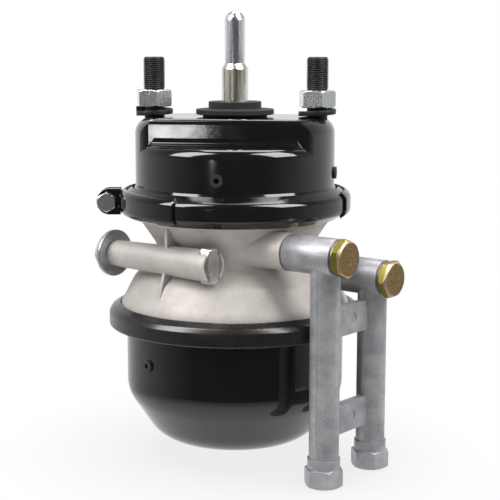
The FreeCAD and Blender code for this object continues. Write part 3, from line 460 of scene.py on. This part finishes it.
def thread(build, place, radius, pitch, depth, low, high, sides=44):
    """Adds a right-hand helical thread with a rounded crest, on +Z of the given placement.

    Each profile point is a share of the pitch and a level from root to crest.
    """
    profile = [(0.0, 1.0), (0.14, 0.93), (0.42, 0.12), (0.50, 0.0), (0.58, 0.12), (0.86, 0.93)]
    turns = math.ceil((high - low) / pitch) + 2
    stations = turns * sides + 1
    rows = []
    for k in range(stations):
        angle = 2.0 * math.pi * k / sides
        rise = low - pitch + pitch * k / sides
        row = []
        for share, level in profile:
            z = min(max(rise + share * pitch, low), high)
            taper = min(1.0, (z - low) / pitch, (high - z) / pitch + 0.35)
            r = radius - depth + depth * level * max(0.0, taper)
            point = Vector((r * math.cos(angle), r * math.sin(angle), z))
            row.append(build.verts.new(place @ point))
        rows.append(row)
    for k in range(stations - 1):
        for p in range(len(profile) - 1):
            face = build.faces.new((rows[k][p], rows[k + 1][p],
                                    rows[k + 1][p + 1], rows[k][p + 1]))
            face.smooth = True
        if k + 1 + sides < stations:
            face = build.faces.new((rows[k][-1], rows[k + 1][-1],
                                    rows[k + 1 + sides][0], rows[k + sides][0]))
            face.smooth = True


def lathe(build, place, rings, sides=44):
    """Adds a turned form through (radius, z) rings; a zero radius is a pole."""
    loops = []
    for radius, z in rings:
        loop = []
        for i in range(1 if radius == 0.0 else sides):
            angle = 2 * math.pi * i / sides
            point = Vector((radius * math.cos(angle), radius * math.sin(angle), z))
            loop.append(build.verts.new(place @ point))
        loops.append(loop)
    for a, b in zip(loops, loops[1:]):
        for i in range(sides):
            j = (i + 1) % sides
            if len(a) == 1:
                build.faces.new((a[0], b[j], b[i]))
            elif len(b) == 1:
                build.faces.new((a[i], a[j], b[0]))
            else:
                build.faces.new((a[i], a[j], b[j], b[i]))


def kept_part(build, node, keep):
    """Adds the faces of a CAD node whose corners all pass the test."""
    source = bmesh.new()
    source.from_mesh(nodes[node].data)
    bmesh.ops.remove_doubles(source, verts=source.verts, dist=SAME_PLACE)
    unwanted = [face for face in source.faces if not all(keep(v.co) for v in face.verts)]
    bmesh.ops.delete(source, geom=unwanted, context="FACES")
    loose = [v for v in source.verts if not v.link_faces]
    bmesh.ops.delete(source, geom=loose, context="VERTS")
    spare = bpy.data.meshes.new("spare")
    source.to_mesh(spare)
    source.free()
    build.from_mesh(spare)
    bpy.data.meshes.remove(spare)


# Mounting studs: heads kept, M16 x 1.5 thread above the nuts
STUD_X = 60.325 * MM
STUD_R = 8.0 * MM
STUD_PITCH = 1.5 * MM
STUD_THREAD_DEPTH = 0.85 * MM
STUD_BLANK_R = 7.45 * MM
STUD_CORE_R = 7.1 * MM
STUD_TIP_R = 5.6 * MM
STUD_TOP = 43.0 * MM
PAD_SHEET = 4.0 * MM
NUT_TOP = 19.3 * MM
CHAMFER = 0.9 * MM

build = bmesh.new()
kept_part(build, "mounting_studs", lambda co: co.z < FACE_SLACK - PAD_SHEET)
for side in (-1, 1):
    place = Matrix.Translation((side * STUD_X, 0.0, 0.0))
    thread(build, place, STUD_R, STUD_PITCH, STUD_THREAD_DEPTH,
           NUT_TOP + 0.1 * MM, STUD_TOP - CHAMFER)
    lathe(build, place, [(STUD_BLANK_R, -PAD_SHEET), (STUD_BLANK_R, NUT_TOP),
                         (STUD_CORE_R, NUT_TOP + 0.3 * MM), (STUD_CORE_R, STUD_TOP - CHAMFER),
                         (6.6 * MM, STUD_TOP), (STUD_TIP_R, STUD_TOP),
                         (0.0, STUD_TOP - 0.1 * MM)])
new_piece("threaded_studs", build, black_steel, "chamber", "mounting_studs")

# Release bolt: T-head kept, M16 x 2 shank with a plain neck under the head
POCKET_OFFSET = 66.0 * MM
POCKET_Z = -99.0 * MM
BOLT_R = 8.0 * MM
BOLT_PITCH = 2.0 * MM
BOLT_THREAD_DEPTH = 1.15 * MM
BOLT_CORE_R = 6.8 * MM
BOLT_NECK_R = 7.9 * MM
BOLT_TAIL = -70.0 * MM
HEAD_LOW = 28.5 * MM
NECK = 12.0 * MM

port_place = (Matrix.Rotation(PORT_TURN, 4, "Z")
              @ Matrix.Translation((0.0, -POCKET_OFFSET, POCKET_Z))
              @ Matrix.Rotation(math.radians(90.0), 4, "Y"))
build = bmesh.new()
kept_part(build, "release_bolt", lambda co: co.dot(PORT_AXIS) > HEAD_LOW - FACE_SLACK)
thread(build, port_place, BOLT_R, BOLT_PITCH, BOLT_THREAD_DEPTH,
       BOLT_TAIL + CHAMFER, HEAD_LOW - NECK)
lathe(build, port_place, [(0.0, BOLT_TAIL), (5.8 * MM, BOLT_TAIL),
                          (6.7 * MM, BOLT_TAIL + CHAMFER),
                          (BOLT_CORE_R, HEAD_LOW - NECK - 0.5 * MM),
                          (BOLT_NECK_R, HEAD_LOW - NECK + 0.2 * MM),
                          (BOLT_NECK_R, HEAD_LOW + 0.1 * MM)])
new_piece("threaded_release_bolt", build, bright_zinc, "release_bolt", "release_bolt")

# Clamp bolt: hexagon head kept, M8 shank
JOINT_TURN = math.radians(190.0)
LUG_BOLT_R = 94.0 * MM
JOINT_Z = -62.0 * MM
CLAMP_BOLT_R = 4.0 * MM
CLAMP_PITCH = 1.25 * MM
CLAMP_THREAD_DEPTH = 0.7 * MM
CLAMP_CORE_R = 3.3 * MM
CLAMP_NECK_R = 3.95 * MM
CLAMP_SEAT = 7.0 * MM
CLAMP_NECK_END = 2.0 * MM
CLAMP_END = -17.5 * MM
CLAMP_SIDES = 28

clamp_place = (Matrix.Rotation(JOINT_TURN, 4, "Z")
               @ Matrix.Translation((LUG_BOLT_R, 0.0, JOINT_Z))
               @ Matrix.Rotation(math.radians(-90.0), 4, "X"))
clamp_way = (clamp_place.to_3x3() @ UP).normalized()
clamp_base = clamp_place.translation.dot(clamp_way)
build = bmesh.new()
kept_part(build, "clamp_bolt",
          lambda co: co.dot(clamp_way) - clamp_base > CLAMP_SEAT - FACE_SLACK)
thread(build, clamp_place, CLAMP_BOLT_R, CLAMP_PITCH, CLAMP_THREAD_DEPTH,
       CLAMP_END + 0.5 * MM, CLAMP_NECK_END, CLAMP_SIDES)
lathe(build, clamp_place, [(0.0, CLAMP_END), (2.9 * MM, CLAMP_END),
                           (CLAMP_CORE_R, CLAMP_END + 0.5 * MM),
                           (CLAMP_CORE_R, CLAMP_NECK_END - 0.2 * MM),
                           (CLAMP_NECK_R, CLAMP_NECK_END + 0.2 * MM),
                           (CLAMP_NECK_R, CLAMP_SEAT + 0.1 * MM)], CLAMP_SIDES)
new_piece("threaded_clamp_bolt", build, bright_zinc, "chamber", "clamp_bolt")


# Camera, matched to the photograph

CAMERA_TURN = math.radians(10.0)
CAMERA_DISTANCE = 0.950
CAMERA_HEIGHT = 0.0515
CAMERA_PITCH = 0.157096
FOCAL_PIXELS = 1294.45
FRAME_PIXELS = 500.0
AXIS_PIXELS_LEFT = 15.0

camera_data = bpy.data.cameras.new("camera")
camera = bpy.data.objects.new("camera", camera_data)
bpy.context.scene.collection.objects.link(camera)
camera_data.sensor_width = 36.0
camera_data.lens = FOCAL_PIXELS / FRAME_PIXELS * camera_data.sensor_width
camera_data.shift_x = AXIS_PIXELS_LEFT / FRAME_PIXELS
camera_data.clip_start = 0.05
camera_data.clip_end = 20.0
towards_camera = Vector((math.sin(CAMERA_TURN), -math.cos(CAMERA_TURN), 0.0))
camera_right = Vector((math.cos(CAMERA_TURN), math.sin(CAMERA_TURN), 0.0))
camera.location = towards_camera * CAMERA_DISTANCE + UP * CAMERA_HEIGHT
look = -towards_camera * math.cos(CAMERA_PITCH) - UP * math.sin(CAMERA_PITCH)
camera.rotation_euler = look.to_track_quat("-Z", "Y").to_euler()
bpy.context.scene.camera = camera


# Studio: white sweep, two soft boxes high at the sides, white behind, dark in front

def bearing(turn, lift):
    """Direction from the object: turn in degrees from the camera to the right, lift above level."""
    turn = math.radians(turn)
    lift = math.radians(lift)
    flat = towards_camera * math.cos(turn) + camera_right * math.sin(turn)
    return flat * math.cos(lift) + UP * math.sin(lift)


def soft_box(name, place, target, width, height, power):
    """Area lamp that faces a point and isn't seen by the camera."""
    data = bpy.data.lights.new(name, "AREA")
    data.shape = "RECTANGLE"
    data.size = width
    data.size_y = height
    data.energy = power
    light = bpy.data.objects.new(name, data)
    bpy.context.scene.collection.objects.link(light)
    light.location = place
    light.rotation_euler = (place - target).to_track_quat("Z", "Y").to_euler()
    light.visible_camera = False


MIDDLE = UP * -90.0 * MM
PAD_FRONT = Vector((0.0, -42.0, -10.0)) * MM
PAD_CARD_PLACE = Vector((-272.0, -1042.0, -76.0)) * MM

soft_box("left_box", MIDDLE + bearing(-66.0, 46.0) * 1.1, MIDDLE, 0.50, 0.95, 13.8)
soft_box("right_box", MIDDLE + bearing(60.0, 46.0) * 1.1, MIDDLE, 0.56, 0.95, 14.8)
soft_box("top_box", MIDDLE + bearing(170.0, 68.0) * 1.2, MIDDLE, 0.70, 0.50, 6.0)
soft_box("pad_card", PAD_CARD_PLACE, PAD_FRONT, 0.10, 0.022, 0.185)

DARK_FROM = -0.8
DARK_LEVEL = 0.06
CONTACT_REACH = 0.12
CONTACT_LEVEL = 0.84
GLOW_INNER = 0.10
GLOW_OUTER = 0.30


def show_by_ray(graph, output_kind, lighting, mirrored, seen):
    """Gives diffuse light, mirror images and the camera a shader each."""
    rays = graph.add("ShaderNodeLightPath").outputs
    inner = graph.add("ShaderNodeMixShader")
    graph.feed(inner.inputs[0], rays["Is Glossy Ray"])
    graph.feed(inner.inputs[1], lighting.outputs[0])
    graph.feed(inner.inputs[2], mirrored.outputs[0])
    outer = graph.add("ShaderNodeMixShader")
    graph.feed(outer.inputs[0], rays["Is Camera Ray"])
    graph.feed(outer.inputs[1], inner.outputs[0])
    graph.feed(outer.inputs[2], seen.outputs[0])
    graph.feed(graph.add(output_kind).inputs["Surface"], outer.outputs[0])


def lit_node(graph, kind, level, strength=None):
    """Shader node of one grey level, with a strength where it has one."""
    node = graph.add(kind)
    node.inputs["Color"].default_value = (*level, 1.0)
    if strength is not None:
        graph.feed(node.inputs["Strength"], strength)
    return node


world = bpy.data.worlds.new("studio")
bpy.context.scene.world = world
sky = Graph(world)
sky.tree.nodes.clear()
where = sky.add("ShaderNodeTexCoord").outputs["Generated"]
facing = sky.vector_math("DOT_PRODUCT", where, -towards_camera - UP * 1.2).outputs["Value"]
show_by_ray(
    sky, "ShaderNodeOutputWorld",
    lighting=lit_node(sky, "ShaderNodeBackground", (0.62, 0.62, 0.625)),
    mirrored=lit_node(sky, "ShaderNodeBackground", (1.0, 1.0, 1.0),
                      sky.remap(facing, DARK_FROM, 1.0, DARK_LEVEL, 1.0)),
    seen=lit_node(sky, "ShaderNodeBackground", (1.0, 1.0, 1.0)))
bpy.context.scene.view_settings.view_transform = "Standard"

floor_mesh = bpy.data.meshes.new("floor")
floor_build = bmesh.new()
bmesh.ops.create_grid(floor_build, x_segments=2, y_segments=2, size=4.0)
floor_build.to_mesh(floor_mesh)
floor_build.free()
floor = bpy.data.objects.new("floor", floor_mesh)
floor.location.z = cad_box[0].z - 0.5 * MM
bpy.context.scene.collection.objects.link(floor)

# Seen white with a faint contact shadow, mirrored like the world, lit as grey paper
paper = bpy.data.materials.new("floor_paper")
ground = Graph(paper)
ground.tree.nodes.clear()
where = ground.add("ShaderNodeTexCoord").outputs["Object"]
way = ground.vector_math("NORMALIZE", where).outputs["Vector"]
facing = ground.vector_math("DOT_PRODUCT", way, -towards_camera).outputs["Value"]
away = ground.vector_math("LENGTH", where).outputs["Value"]
far_level = ground.remap(facing, DARK_FROM, 1.0, DARK_LEVEL, 1.0)
near_level = ground.remap(away, GLOW_INNER, GLOW_OUTER, 1.0, 0.0, smooth=True)
nearby = ground.add("ShaderNodeAmbientOcclusion")
nearby.inputs["Distance"].default_value = CONTACT_REACH
show_by_ray(
    ground, "ShaderNodeOutputMaterial",
    lighting=lit_node(ground, "ShaderNodeBsdfDiffuse", (0.70, 0.70, 0.70)),
    mirrored=lit_node(ground, "ShaderNodeEmission", (1.0, 1.0, 1.0),
                      ground.math("MAXIMUM", far_level, near_level)),
    seen=lit_node(ground, "ShaderNodeEmission", (1.0, 1.0, 1.0),
                  ground.remap(nearby.outputs["AO"], 0.35, 1.0, CONTACT_LEVEL, 1.0)))
floor_mesh.materials.append(paper)
